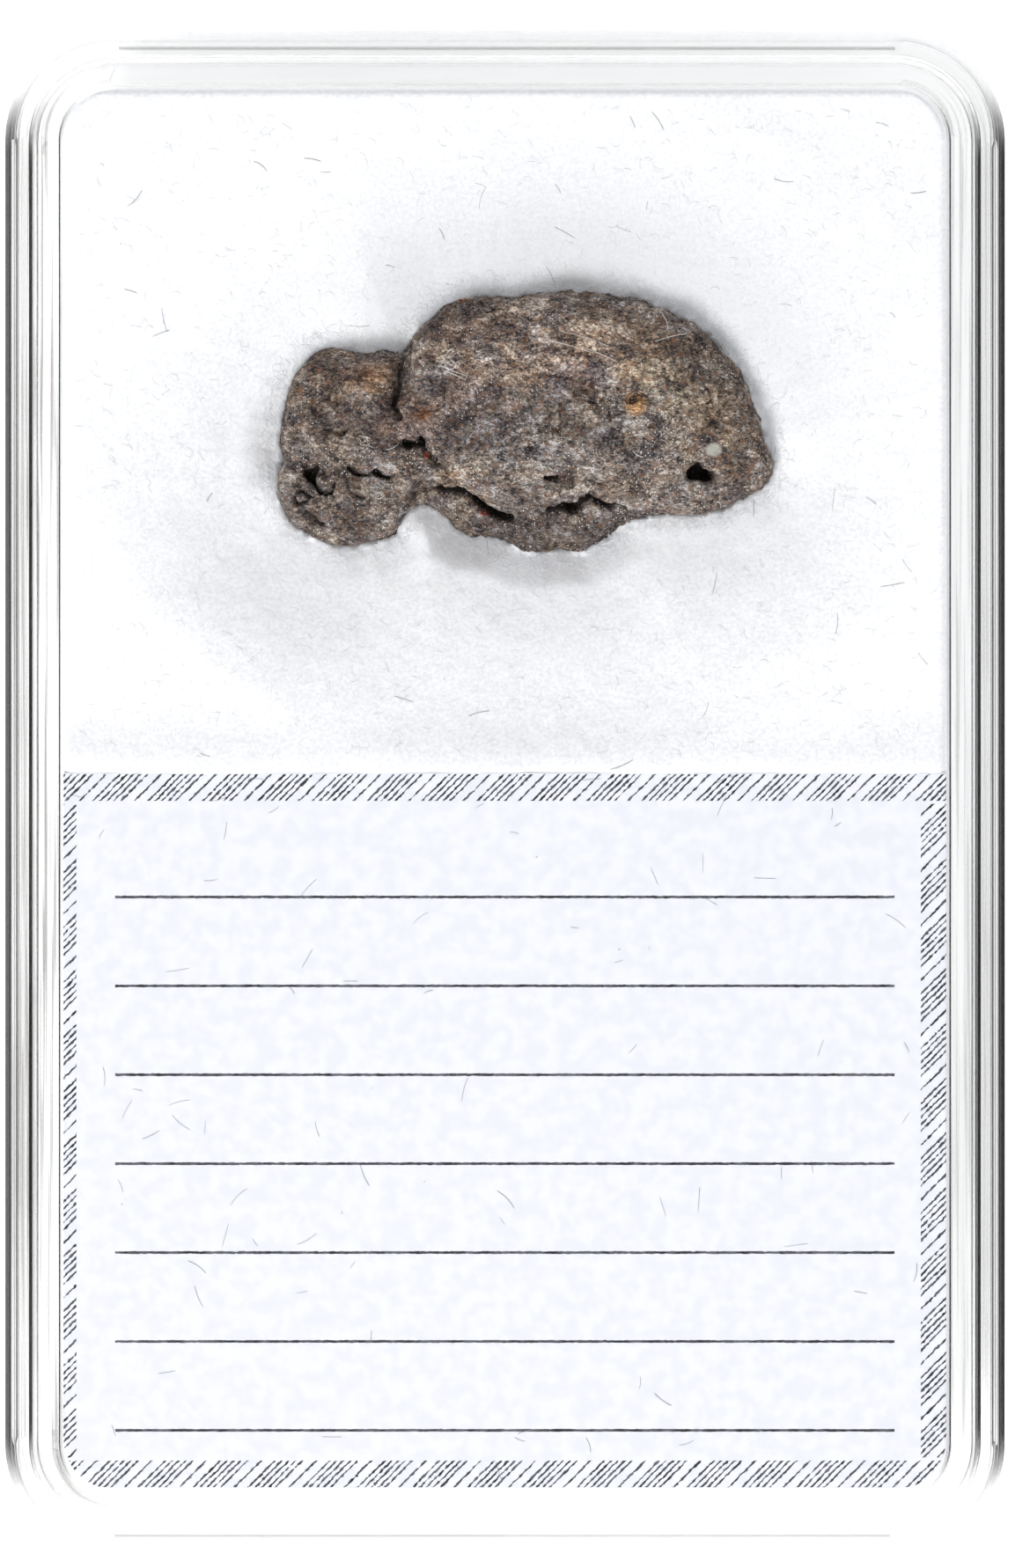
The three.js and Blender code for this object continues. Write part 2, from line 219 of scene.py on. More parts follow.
def make_specks_group():
    """Small round specks: one at most in each cell, in a share of the cells."""
    group, entry, result = new_group(
        "specks",
        [("Place", "NodeSocketVector"), ("Cells", "NodeSocketFloat"), ("Share", "NodeSocketFloat"),
         ("Size", "NodeSocketFloat"), ("Shift", "NodeSocketFloat")],
        [("Mask", "NodeSocketFloat")],
    )
    shifted = add_node(group, "ShaderNodeVectorMath",
                       {0: entry.outputs["Place"], 1: entry.outputs["Shift"]}, operation="ADD")
    cells = add_node(group, "ShaderNodeTexVoronoi",
                     {"Vector": shifted.outputs[0], "Scale": entry.outputs["Cells"]})
    draw = add_node(group, "ShaderNodeSeparateColor", {0: cells.outputs["Color"]}).outputs[0]
    chosen = math_node(group, "LESS_THAN", draw, entry.outputs["Share"])
    edge = math_node(group, "MULTIPLY", entry.outputs["Size"], 0.6)
    inputs = {"Value": cells.outputs["Distance"], "From Min": entry.outputs["Size"], "From Max": edge}
    dot = add_node(group, "ShaderNodeMapRange", inputs, interpolation_type="SMOOTHSTEP").outputs["Result"]
    mask = math_node(group, "MULTIPLY", chosen, dot)
    group.links.new(mask, result.inputs["Mask"])
    return group


def make_fine_grain_group():
    """Fine unevenness for bump and for small changes of tone."""
    group, entry, result = new_group(
        "fine_grain",
        [("Place", "NodeSocketVector"), ("Scale", "NodeSocketFloat"), ("Detail", "NodeSocketFloat")],
        [("Height", "NodeSocketFloat")],
    )
    inputs = {"Vector": entry.outputs["Place"], "Scale": entry.outputs["Scale"],
              "Detail": entry.outputs["Detail"], "Roughness": 0.62}
    grain = add_node(group, "ShaderNodeTexNoise", inputs)
    group.links.new(grain.outputs["Fac"], result.inputs["Height"])
    return group


SPECKS = make_specks_group()
FINE_GRAIN = make_fine_grain_group()


def new_material(name):
    material = bpy.data.materials.new(name)
    material.use_nodes = True
    tree = material.node_tree
    shader = tree.nodes["Principled BSDF"]
    return material, tree, shader


def bump(tree, shader, height, distance_mm, strength=1.0):
    inputs = {"Height": height, "Distance": distance_mm * MM, "Strength": strength}
    made = add_node(tree, "ShaderNodeBump", inputs)
    tree.links.new(made.outputs["Normal"], shader.inputs["Normal"])


def make_wall_group():
    """How far a place lies inside the box's outline, and faint lines that follow the outline, used as painted
    shade on the plastic.
    """
    group, entry, result = new_group(
        "wall_lines",
        [("Place", "NodeSocketVector")],
        [("Inward", "NodeSocketFloat"), ("Lines", "NodeSocketFloat")],
    )
    parts = add_node(group, "ShaderNodeSeparateXYZ", {0: entry.outputs["Place"]})
    across = math_node(group, "ABSOLUTE", parts.outputs["X"])
    along = math_node(group, "ABSOLUTE", parts.outputs["Y"])
    out_x = math_node(group, "SUBTRACT", across, BOX_WIDTH / 2 - CORNER_RADIUS)
    out_y = math_node(group, "SUBTRACT", along, BOX_LENGTH / 2 - CORNER_RADIUS)
    past_x = math_node(group, "MAXIMUM", out_x, 0.0)
    past_y = math_node(group, "MAXIMUM", out_y, 0.0)
    corner = add_node(group, "ShaderNodeCombineXYZ", {0: past_x, 1: past_y}).outputs[0]
    reach = add_node(group, "ShaderNodeVectorMath", {0: corner}, operation="LENGTH").outputs["Value"]
    inner = math_node(group, "MINIMUM", math_node(group, "MAXIMUM", out_x, out_y), 0.0)
    inward = math_node(group, "SUBTRACT", CORNER_RADIUS, math_node(group, "ADD", reach, inner))
    group.links.new(inward, result.inputs["Inward"])
    lengthened = add_node(group, "ShaderNodeCombineXYZ", {
        0: math_node(group, "MULTIPLY", inward, LINES_ACROSS),
        1: math_node(group, "MULTIPLY", parts.outputs["X"], LINES_ALONG),
        2: math_node(group, "MULTIPLY", parts.outputs["Y"], LINES_ALONG),
    })
    inputs = {"Vector": lengthened.outputs[0], "Scale": 1.0, "Detail": 2.0, "Roughness": 0.8}
    lines = add_node(group, "ShaderNodeTexNoise", inputs).outputs["Fac"]
    group.links.new(between(group, lines, 0.48, 0.62), result.inputs["Lines"])
    return group


WALL_LINES = make_wall_group()


def clear_plastic_material(name, edge_shade_depth, line_shade_depth):
    """Moulded clear plastic that lets lamps through, darker at its long edges by painted shade, with faint
    lines of painted shade along its walls, and paler at its ends by painted light.
    """
    material, tree, shader = new_material(name)
    shader.inputs["IOR"].default_value = 1.59
    shader.inputs["Transmission Weight"].default_value = 1.0
    place = place_in_mm(tree)
    smudge = use_group(tree, FINE_GRAIN, Place=place, Scale=0.35, Detail=1.0).outputs["Height"]
    inputs = {"Value": smudge, "From Min": 0.62, "From Max": 0.8, "To Min": 0.0, "To Max": 0.06}
    rough = add_node(tree, "ShaderNodeMapRange", inputs)
    tree.links.new(rough.outputs["Result"], shader.inputs["Roughness"])
    walls = use_group(tree, WALL_LINES, Place=place)
    at_wall = between(tree, walls.outputs["Inward"], WALL_DEPTH, WALL_DEPTH - 0.3)
    where = add_node(tree, "ShaderNodeSeparateXYZ", {0: place})
    from_middle = math_node(tree, "ABSOLUTE", where.outputs["Y"])
    straight = between(tree, from_middle, STRAIGHT_END + 4.5, STRAIGHT_END)
    straight = math_node(tree, "MULTIPLY_ADD", straight, 0.7, 0.3)
    sideways = math_node(tree, "ABSOLUTE", where.outputs["X"])
    side = between(tree, sideways, LONG_WALL_START, LONG_WALL_START + 3)
    side = math_node(tree, "MULTIPLY", side, straight)
    near_end = between(tree, where.outputs["Y"], -26.0, -END_FULL)
    depth = math_node(tree, "MULTIPLY_ADD", side, 0.34, 0.03)
    depth = math_node(tree, "MULTIPLY_ADD", near_end, 0.1, depth)
    right = between(tree, where.outputs["X"], -1.0, 1.0)
    depth = math_node(tree, "MULTIPLY", depth, math_node(tree, "MULTIPLY_ADD", right, -1.1, 2.1))
    # Painted shade: faint lines and a broad dark band along the walls, stronger on the long sides, on the
    # left and at the near end
    painted_wall_band = math_node(tree, "MULTIPLY", between(tree, walls.outputs["Inward"], 0.85, 0.55), 0.4)
    painted_wall_lines = math_node(tree, "MAXIMUM", math_node(tree, "MULTIPLY", walls.outputs["Lines"], at_wall), painted_wall_band)
    painted_wall_lines = math_node(tree, "MULTIPLY", math_node(tree, "MULTIPLY", painted_wall_lines, depth), line_shade_depth)
    tone = mix_colour(tree, painted_wall_lines, PALEST_PLASTIC, PAINTED_SHADE_TONE)
    tree.links.new(tone, shader.inputs["Base Color"])
    # Painted shade: for the camera, the slanted faces along the long edges become a dark see-through filter
    geometry = add_node(tree, "ShaderNodeNewGeometry").outputs
    facing = add_node(tree, "ShaderNodeSeparateXYZ", {0: geometry["Normal"]})
    across = between(tree, math_node(tree, "ABSOLUTE", facing.outputs["X"]), 0.4, 0.7)
    slant = add_node(tree, "ShaderNodeLayerWeight").outputs["Facing"]
    outer = between(tree, math_node(tree, "MULTIPLY_ADD", right, 0.1, slant), 0.4, 0.56)
    outer = math_node(tree, "MULTIPLY", outer, math_node(tree, "MULTIPLY_ADD", right, 0.5, 0.45))
    inner = between(tree, slant, 0.2, 0.28)
    outside = math_node(tree, "SUBTRACT", 1.0, geometry["Backfacing"])
    edge = math_node(tree, "MULTIPLY", outer, outside)
    edge = math_node(tree, "ADD", edge, math_node(tree, "MULTIPLY", inner, geometry["Backfacing"]))
    edge = math_node(tree, "MULTIPLY", edge, across)
    edge = math_node(tree, "MULTIPLY", edge, between(tree, where.outputs["Z"], RIM_START, RIM_START + 0.3))
    edge = math_node(tree, "MULTIPLY", math_node(tree, "MULTIPLY", edge, edge_shade_depth), straight)
    # Painted light: near the ends, slanted faces let the view straight through and look paler
    at_end = between(tree, from_middle, END_START, END_FULL)
    painted_end_light = math_node(tree, "MULTIPLY", at_end, between(tree, slant, 0.05, 0.3))
    painted_end_light = math_node(tree, "MULTIPLY", painted_end_light, 0.5)
    rays = add_node(tree, "ShaderNodeLightPath").outputs
    lamp_ray = math_node(tree, "MAXIMUM", rays["Is Shadow Ray"], rays["Is Diffuse Ray"])
    bright = math_node(tree, "MAXIMUM", lamp_ray, at_end)
    # The see-through colour: dark painted shade for the camera, clear for lamps and at the ends
    clear = mix_colour(tree, bright, srgb(60, 58, 58), (0.99, 0.99, 0.99, 1))
    through = add_node(tree, "ShaderNodeBsdfTransparent", {"Color": clear})
    share = math_node(tree, "MAXIMUM", lamp_ray, math_node(tree, "MAXIMUM", edge, painted_end_light))
    mixed = add_node(tree, "ShaderNodeMixShader", {0: share, 1: shader.outputs[0], 2: through.outputs[0]})
    tree.links.new(mixed.outputs[0], tree.nodes["Material Output"].inputs["Surface"])
    return material


def foam_material():
    """Soft white foam with a felted face, a painted shadow above and to the right of the stone, and a painted
    glow close beside it.
    """
    material, tree, shader = new_material("foam")
    place = place_in_mm(tree)
    felt = use_group(tree, FINE_GRAIN, Place=place, Scale=6.5, Detail=2.0).outputs["Height"]
    tone = mix_colour(tree, between(tree, felt, 0.3, 0.65), srgb(236, 237, 240), srgb(250, 250, 252))
    # Painted shadow: a soft grey patch on the foam above and to the right of the stone
    painted_shadow = math_node(tree, "MULTIPLY", soft_spot(tree, (2.4, 3.8), (10.4, 6.8), 0.9), 0.62)
    tone = mix_colour(tree, painted_shadow, tone, srgb(184, 185, 188))
    dust = use_group(tree, SPECKS, Place=place, Cells=0.8, Share=0.12, Size=0.035, Shift=3.0)
    speck = math_node(tree, "MULTIPLY", dust.outputs["Mask"], 0.5)
    tree.links.new(mix_colour(tree, speck, tone, srgb(120, 116, 112)), shader.inputs["Base Color"])
    shader.inputs["Roughness"].default_value = 0.95
    shader.inputs["Specular IOR Level"].default_value = 0.2
    shader.inputs["Sheen Weight"].default_value = 0.3
    from_stone = add_node(tree, "ShaderNodeAttribute", attribute_name="from_stone").outputs["Fac"]
    # Painted light: the foam glows close beside the stone, less so inside the painted shadow
    painted_glow_near_stone = between(tree, from_stone, GLOW_REACH, 0.0)
    painted_glow_near_stone = math_node(tree, "MULTIPLY", painted_glow_near_stone, math_node(tree, "MULTIPLY_ADD", painted_shadow, -0.9, 1.0))
    shader.inputs["Emission Color"].default_value = srgb(246, 248, 255)
    tree.links.new(math_node(tree, "MULTIPLY", painted_glow_near_stone, FOAM_GLOW), shader.inputs["Emission Strength"])
    material.cycles.emission_sampling = "NONE"
    bump(tree, shader, felt, 0.05, 0.32)
    return material


def card_material():
    """White card with thin ruled lines and a border of slanted strokes, in groups of five and one."""
    material, tree, shader = new_material("card")
    place = place_in_mm(tree)
    parts = add_node(tree, "ShaderNodeSeparateXYZ", {0: place})
    x, y = parts.outputs["X"], parts.outputs["Y"]
    middle = (CARD_LOW + CARD_HIGH) / 2
    half = (CARD_HIGH - CARD_LOW) / 2
    side = math_node(tree, "ABSOLUTE", math_node(tree, "SUBTRACT", x, middle.x))
    end = math_node(tree, "ABSOLUTE", math_node(tree, "SUBTRACT", y, middle.y))
    right = math_node(tree, "GREATER_THAN", x, CARD_HIGH.x - BORDER_WIDTH)
    left = math_node(tree, "LESS_THAN", x, CARD_LOW.x + CUT_BORDER_WIDTH)
    off_end = math_node(tree, "LESS_THAN", end, half.y - BORDER_WIDTH - 0.24)
    at_side = math_node(tree, "MULTIPLY", math_node(tree, "MAXIMUM", left, right), off_end)
    off_edge = math_node(tree, "LESS_THAN", end, half.y - 0.07)
    at_end = math_node(tree, "GREATER_THAN", end, half.y - BORDER_WIDTH - 0.12)
    at_end = math_node(tree, "MULTIPLY", at_end, off_edge)
    band = math_node(tree, "MAXIMUM", at_side, at_end)
    slant = math_node(tree, "SUBTRACT", x, y)
    units = math_node(tree, "DIVIDE", math_node(tree, "ADD", slant, STROKES_START), STROKE_PITCH)
    for edge, shift in ((left, LEFT_SHIFT), (right, RIGHT_SHIFT)):
        edge = math_node(tree, "MULTIPLY", edge, off_end)
        units = math_node(tree, "MULTIPLY_ADD", edge, shift, units)
    below = math_node(tree, "MULTIPLY", at_end, math_node(tree, "LESS_THAN", y, middle.y))
    units = math_node(tree, "MULTIPLY_ADD", below, NEAR_SHIFT, units)
    wobble = use_group(tree, FINE_GRAIN, Place=place, Scale=2.2, Detail=2.0).outputs["Height"]
    shake = math_node(tree, "MULTIPLY", math_node(tree, "SUBTRACT", wobble, 0.5), 0.35)
    units = math_node(tree, "ADD", units, shake)
    in_group = math_node(tree, "MODULO", units, STROKES_IN_TURN)
    in_unit = math_node(tree, "ABSOLUTE", math_node(tree, "SUBTRACT", math_node(tree, "FRACT", units), 0.5))
    ink_edge = use_group(tree, FINE_GRAIN, Place=place, Scale=7.0, Detail=1.5).outputs["Height"]
    half_stroke = math_node(tree, "MULTIPLY_ADD", ink_edge, 0.75, -0.19)
    stroke = math_node(tree, "LESS_THAN", in_unit, half_stroke)
    first = math_node(tree, "LESS_THAN", in_group, 1.0)
    five = math_node(tree, "MULTIPLY", math_node(tree, "GREATER_THAN", in_group, 2.0),
                     math_node(tree, "LESS_THAN", in_group, 7.0))
    printed = math_node(tree, "MULTIPLY", math_node(tree, "MAXIMUM", first, five), stroke)
    printed = math_node(tree, "MULTIPLY", printed, band)
    rows = math_node(tree, "DIVIDE", math_node(tree, "SUBTRACT", y, LAST_LINE), LINE_PITCH)
    from_line = math_node(tree, "ABSOLUTE", math_node(tree, "SUBTRACT", rows, math_node(tree, "ROUND", rows)))
    thin = math_node(tree, "MULTIPLY_ADD", ink_edge, 0.02, 0.005)
    line = math_node(tree, "LESS_THAN", from_line, thin)
    within = math_node(tree, "LESS_THAN", side, LINE_HALF_LENGTH)
    off_middle = math_node(tree, "ABSOLUTE", math_node(tree, "SUBTRACT", rows, (LINE_COUNT - 1) / 2))
    level = math_node(tree, "LESS_THAN", off_middle, (LINE_COUNT - 1) / 2 + 0.3)
    line = math_node(tree, "MULTIPLY", line, math_node(tree, "MULTIPLY", within, level))
    printed = math_node(tree, "MAXIMUM", printed, line)
    paper = use_group(tree, FINE_GRAIN, Place=place, Scale=1.4, Detail=2.0).outputs["Height"]
    tone = mix_colour(tree, between(tree, paper, 0.35, 0.65), srgb(224, 225, 233), srgb(231, 232, 239))
    dust = use_group(tree, SPECKS, Place=place, Cells=0.9, Share=0.16, Size=0.045, Shift=11.0)
    speck = math_node(tree, "MULTIPLY", dust.outputs["Mask"], 0.45)
    tone = mix_colour(tree, speck, tone, srgb(96, 92, 90))
    ink_tone = mix_colour(tree, between(tree, wobble, 0.35, 0.65), srgb(22, 22, 30), srgb(92, 92, 100))
    tree.links.new(mix_colour(tree, printed, tone, ink_tone), shader.inputs["Base Color"])
    shader.inputs["Roughness"].default_value = 0.7
    return material


def soft_spot(tree, centre, radii, sharp=0.35):
    """A mask that is 1 in the middle of an oval place near the stone and fades out at its edge."""
    spot = (STONE_CENTRE.x + centre[0], STONE_CENTRE.y + centre[1], 0)
    place = place_in_mm(tree, spot, (1 / radii[0], 1 / radii[1], 0.0001))
    reach = add_node(tree, "ShaderNodeVectorMath", {0: place}, operation="LENGTH").outputs["Value"]
    return between(tree, reach, 1.0 + sharp, 1.0 - sharp)


# Places on the stone that are darker or lighter, partly in their own colour and partly by painted light:
# middle, half widths, how much of the stone's own red, green and blue they keep, and softness
TINTS_AND_PAINTED_LIGHT = [
    ((-7.6, 1.4), (2.2, 2.4), (0.92, 0.88, 0.84), 0.6),
    ((-7.6, -3.0), (2.4, 2.0), (0.79, 0.78, 0.78), 0.6),
    ((0.6, -4.4), (3.6, 1.1), (0.7, 0.68, 0.68), 0.5),
    ((0.2, -1.3), (3.6, 1.2), (1.1, 1.15, 1.2), 0.7),
    # Painted light: the upper part of the stone is lightened where light falls on it
    ((1.4, 3.2), (4.4, 1.7), (1.68, 1.61, 1.54), 0.7),
    ((5.0, 1.5), (1.7, 1.3), (1.22, 1.24, 1.16), 0.7),
    ((-2.9, 4.1), (1.3, 0.9), (0.66, 0.6, 0.58), 0.6),
    ((6.9, 3.0), (2.6, 0.9), (0.8, 0.77, 0.74), 0.7),
    ((-6.3, 1.9), (0.9, 0.6), (1.3, 1.05, 0.85), 0.7),
    ((-4.9, -0.2), (1.6, 1.0), (0.78, 0.68, 0.66), 0.6),
    ((-2.6, 0.9), (1.4, 1.0), (0.82, 0.78, 0.82), 0.7),
    ((2.2, 1.6), (1.2, 0.7), (0.7, 0.68, 0.74), 0.7),
    ((8.2, 0.4), (1.4, 1.6), (1.0, 0.95, 0.86), 0.7),
    ((0.4, 0.5), (3.2, 1.1), (0.87, 0.87, 0.88), 0.7),
    ((0.6, -4.2), (3.4, 0.8), (0.86, 0.86, 0.86), 0.6),
    ((-2.6, 5.2), (0.35, 0.22), (1.9, 1.25, 0.85), 0.5),
    ((4.4, 0.8), (0.46, 0.44), (1.4, 0.88, 0.46), 0.5),
    ((4.3, 0.92), (0.17, 0.16), (0.25, 0.2, 0.18), 0.5),
    ((-3.95, -1.28), (0.17, 0.14), (1.4, 0.45, 0.3), 0.5),
    ((-1.65, -3.55), (0.2, 0.13), (1.5, 0.45, 0.3), 0.5),
    ((-3.1, -2.3), (0.5, 0.35), (1.4, 1.24, 1.02), 0.6),
    ((-0.5, 0.75), (0.36, 0.22), (1.7, 1.75, 1.85), 0.6),
    ((-4.1, 0.35), (0.28, 0.22), (1.3, 0.9, 0.55), 0.6),
]
PALE_CLAST = (7.55, -1.05)
# Grain colours from dark to pale, with their places on a scale from 0 to 1
GRAINS = [
    (0.0, (40, 34, 36)),
    (0.2, (74, 66, 64)),
    (0.38, (98, 88, 81)),
    (0.55, (120, 108, 97)),
    (0.7, (143, 131, 118)),
    (0.86, (163, 154, 143)),
    (1.0, (196, 190, 182)),
]


def stone_material():
    """A brown-grey mottled breccia, with pale and dark grains, rusty spots and a pale clast, painted shade in
    its seams and pits, pale specks that are partly painted glints, and places made darker or lighter partly
    by painted light.
    """
    material, tree, shader = new_material("stone")
    place = place_in_mm(tree)
    mottle = use_group(tree, FINE_GRAIN, Place=place, Scale=1.05, Detail=4.0).outputs["Height"]
    leaning = add_node(tree, "ShaderNodeMapping",
                       {"Vector": place, "Rotation": (0, 0, math.radians(22)), "Scale": (0.7, 1.1, 1)})
    crystals = add_node(tree, "ShaderNodeTexVoronoi", {"Vector": leaning.outputs[0], "Scale": 7.0})
    cell = add_node(tree, "ShaderNodeSeparateColor", {0: crystals.outputs["Color"]})
    splinters = add_node(tree, "ShaderNodeTexVoronoi", {"Vector": leaning.outputs[0], "Scale": 17.0})
    splinter = add_node(tree, "ShaderNodeSeparateColor", {0: splinters.outputs["Color"]})
    patches = add_node(tree, "ShaderNodeMapRange", {"Value": mottle, "From Min": 0.3, "From Max": 0.7})
    level = math_node(tree, "MULTIPLY", patches.outputs["Result"], 0.43)
    level = math_node(tree, "MULTIPLY_ADD", cell.outputs[0], 0.23, level)
    level = math_node(tree, "MULTIPLY_ADD", splinter.outputs[0], 0.34, level)
    level = math_node(tree, "MULTIPLY_ADD", level, 1.95, -0.52)
    ramp_node = add_node(tree, "ShaderNodeValToRGB", {0: level})
    ramp = ramp_node.color_ramp
    ramp.elements[0].color = srgb(*GRAINS[0][1])
    ramp.elements[1].color = srgb(*GRAINS[-1][1])
    for position, colour in GRAINS[1:-1]:
        ramp.elements.new(position).color = srgb(*colour)
    tone = ramp_node.outputs[0]
    hue = use_group(tree, FINE_GRAIN, Place=place, Scale=0.8, Detail=2.0).outputs["Height"]
    drift = mix_colour(tree, between(tree, hue, 0.4, 0.6), (0.9, 0.93, 1.04, 1), (1.03, 0.97, 0.93, 1))
    tone = mix_colour(tree, 1.0, tone, drift, "MULTIPLY")
    rusty = math_node(tree, "MULTIPLY", between(tree, cell.outputs[1], 0.8, 0.95), 0.5)
    tone = mix_colour(tree, rusty, tone, srgb(128, 92, 66))
    # Darker and lighter places: partly the stone's own colour, partly painted light
    for centre, radii, colour, softness in TINTS_AND_PAINTED_LIGHT:
        spot = soft_spot(tree, centre, radii, softness)
        tone = mix_colour(tree, spot, tone, mix_colour(tree, 1.0, tone, (*colour, 1), "MULTIPLY"))
    pale = math_node(tree, "MULTIPLY", soft_spot(tree, PALE_CLAST, (0.31, 0.25), 0.35), 0.8)
    tone = mix_colour(tree, pale, tone, srgb(190, 188, 178))
    pores = use_group(tree, SPECKS, Place=leaning.outputs[0], Cells=3.2, Share=0.3, Size=0.22, Shift=5.0)
    pore = math_node(tree, "MULTIPLY", pores.outputs["Mask"], 0.8)
    tone = mix_colour(tree, pore, tone, srgb(34, 28, 27))
    hollow = add_node(tree, "ShaderNodeAttribute", attribute_name="hollow").outputs["Fac"]
    # Painted shade: seams, cracks and pits darken with their depth
    tone = mix_colour(tree, between(tree, hollow, 0.06, 0.34), tone, srgb(34, 28, 25))
    # Pale specks: partly dust and pale grains, partly painted glints
    glints_and_dust = use_group(tree, SPECKS, Place=place, Cells=11.0, Share=0.24, Size=0.36, Shift=17.0)
    speck_patches = use_group(tree, FINE_GRAIN, Place=place, Scale=0.55, Detail=2.0).outputs["Height"]
    glint_and_dust = math_node(tree, "MULTIPLY", glints_and_dust.outputs["Mask"], between(tree, speck_patches, 0.38, 0.6))
    tone = mix_colour(tree, math_node(tree, "MULTIPLY", glint_and_dust, 0.85), tone, srgb(240, 238, 234))
    tree.links.new(tone, shader.inputs["Base Color"])
    shader.inputs["Roughness"].default_value = 0.75
    shader.inputs["Specular IOR Level"].default_value = 0.3
    height = math_node(tree, "MULTIPLY", cell.outputs[2], 0.5)
    height = math_node(tree, "MULTIPLY_ADD", splinter.outputs[2], 0.3, height)
    height = math_node(tree, "MULTIPLY_ADD", mottle, 1.2, height)
    bump(tree, shader, height, 0.07, 0.8)
    return material


def fibre_material(name, light, dark, glow=0.0):
    """Thin fibres, with a slow change of tone along them, and a painted glow of the given strength."""
    material, tree, shader = new_material(name)
    place = place_in_mm(tree)
    change = use_group(tree, FINE_GRAIN, Place=place, Scale=0.8, Detail=1.0).outputs["Height"]
    tone = mix_colour(tree, between(tree, change, 0.35, 0.65), light, dark)
    tree.links.new(tone, shader.inputs["Base Color"])
    shader.inputs["Roughness"].default_value = 0.6
    # Painted light: a faint glow that lightens the fibres' shaded sides
    shader.inputs["Emission Color"].default_value = light
    shader.inputs["Emission Strength"].default_value = glow
    material.cycles.emission_sampling = "NONE"
    return material


def floor_material():
    material, tree, shader = new_material("floor")
    place = place_in_mm(tree)
    change = use_group(tree, FINE_GRAIN, Place=place, Scale=0.01, Detail=2.0).outputs["Height"]
    tone = mix_colour(tree, change, srgb(250, 250, 250), srgb(254, 254, 254))
    tree.links.new(tone, shader.inputs["Base Color"])
    shader.inputs["Roughness"].default_value = 0.9
    shader.inputs["Specular IOR Level"].default_value = 0.1
    shader.inputs["Emission Color"].default_value = (1, 1, 1, 1)
    shader.inputs["Emission Strength"].default_value = FLOOR_GLOW
    material.cycles.emission_sampling = "NONE"
    return material


# Pieces

def finish_piece(shape, name, material, slot, *nodes):
    """Brings a shape in millimetres to metres as a piece that rides on the body and stands for its nodes."""
    shape.transform(Matrix.Scale(MM, 4))
    mesh = bpy.data.meshes.new(name)
    shape.to_mesh(mesh)
    shape.free()
    mesh.materials.append(material)
    piece = bpy.data.objects.new(name, mesh)
    bpy.context.scene.collection.objects.link(piece)
    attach(piece, "root")
    for node in nodes:
        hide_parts(node)
    return piece


def smooth_all(shape):
    for face in shape.faces:
        face.smooth = True


def even_normals(piece):
    """Lets the large flat faces set the shading where they meet small rounded ones."""
    weighted = piece.modifiers.new("even_normals", "WEIGHTED_NORMAL")
    weighted.weight = 50


def rounded_block(inset, low, high, corner=CORNER_RADIUS):
    """A block of the box's plan, drawn in by an inset, with upright rounded corners."""
    shape = bmesh.new()
    bmesh.ops.create_cube(shape, size=1)
    size = Vector((BOX_WIDTH - 2 * inset, BOX_LENGTH - 2 * inset, high - low))
    bmesh.ops.scale(shape, vec=size, verts=shape.verts)
    bmesh.ops.translate(shape, vec=(0, 0, (low + high) / 2), verts=shape.verts)
    upright = [e for e in shape.edges if abs(e.verts[0].co.z - e.verts[1].co.z) > 0.001]
    bmesh.ops.bevel(shape, geom=upright, offset=corner - inset, segments=CORNER_STEPS,
                    affect="EDGES", profile=0.5, material=-1)
    return shape


def level_face(shape, height, up):
    """The one face at a height that looks up or down."""
    level = [f for f in shape.faces if f.normal.z * up > 0.99]
    found = [f for f in level if abs(f.calc_center_median().z - height) < 0.001]
    return max(found, key=lambda f: f.calc_area())


def step_in(shape, face, inset, rise):
    """Insets a level face and moves the part inside it up or down as a new level."""
    bmesh.ops.inset_region(shape, faces=[face], thickness=inset, use_even_offset=True)
    raised = bmesh.ops.extrude_discrete_faces(shape, faces=[face])["faces"][0]
    bmesh.ops.translate(shape, vec=(0, 0, rise), verts=list(raised.verts))
    shape.normal_update()
    return raised


def round_rim(shape, height, radius, segments, outermost=False):
    """Rounds the edges that bound level faces at a height, or only those at the outside of the box."""
    rim = []
    for edge in shape.edges:
        if any(abs(v.co.z - height) > 0.0005 for v in edge.verts):
            continue
        if not any(abs(f.normal.z) < 0.1 for f in edge.link_faces):
            continue
        corner = edge.verts[0].co
        if outermost and max(abs(corner.x) / BOX_WIDTH, abs(corner.y) / BOX_LENGTH) < 0.45:
            continue
        rim.append(edge)
    bmesh.ops.bevel(shape, geom=rim, offset=radius, segments=segments,
                    affect="EDGES", profile=0.5, material=-1)
    shape.normal_update()


def make_lid(plastic):
    shape = rounded_block(0, LID_LOW.z, BOX_HEIGHT)
    ceiling = BOX_HEIGHT - PLATE
    step_in(shape, level_face(shape, LID_LOW.z, -1), LID_WALL, ceiling - LID_LOW.z)
    round_rim(shape, BOX_HEIGHT, EDGE_RADIUS, 6)
    round_rim(shape, ceiling, CEILING_RADIUS, 5)
    round_rim(shape, LID_LOW.z, RIM_RADIUS, 2)
    smooth_all(shape)
    even_normals(finish_piece(shape, "clear_lid", plastic, "clear_plastic", "lid"))


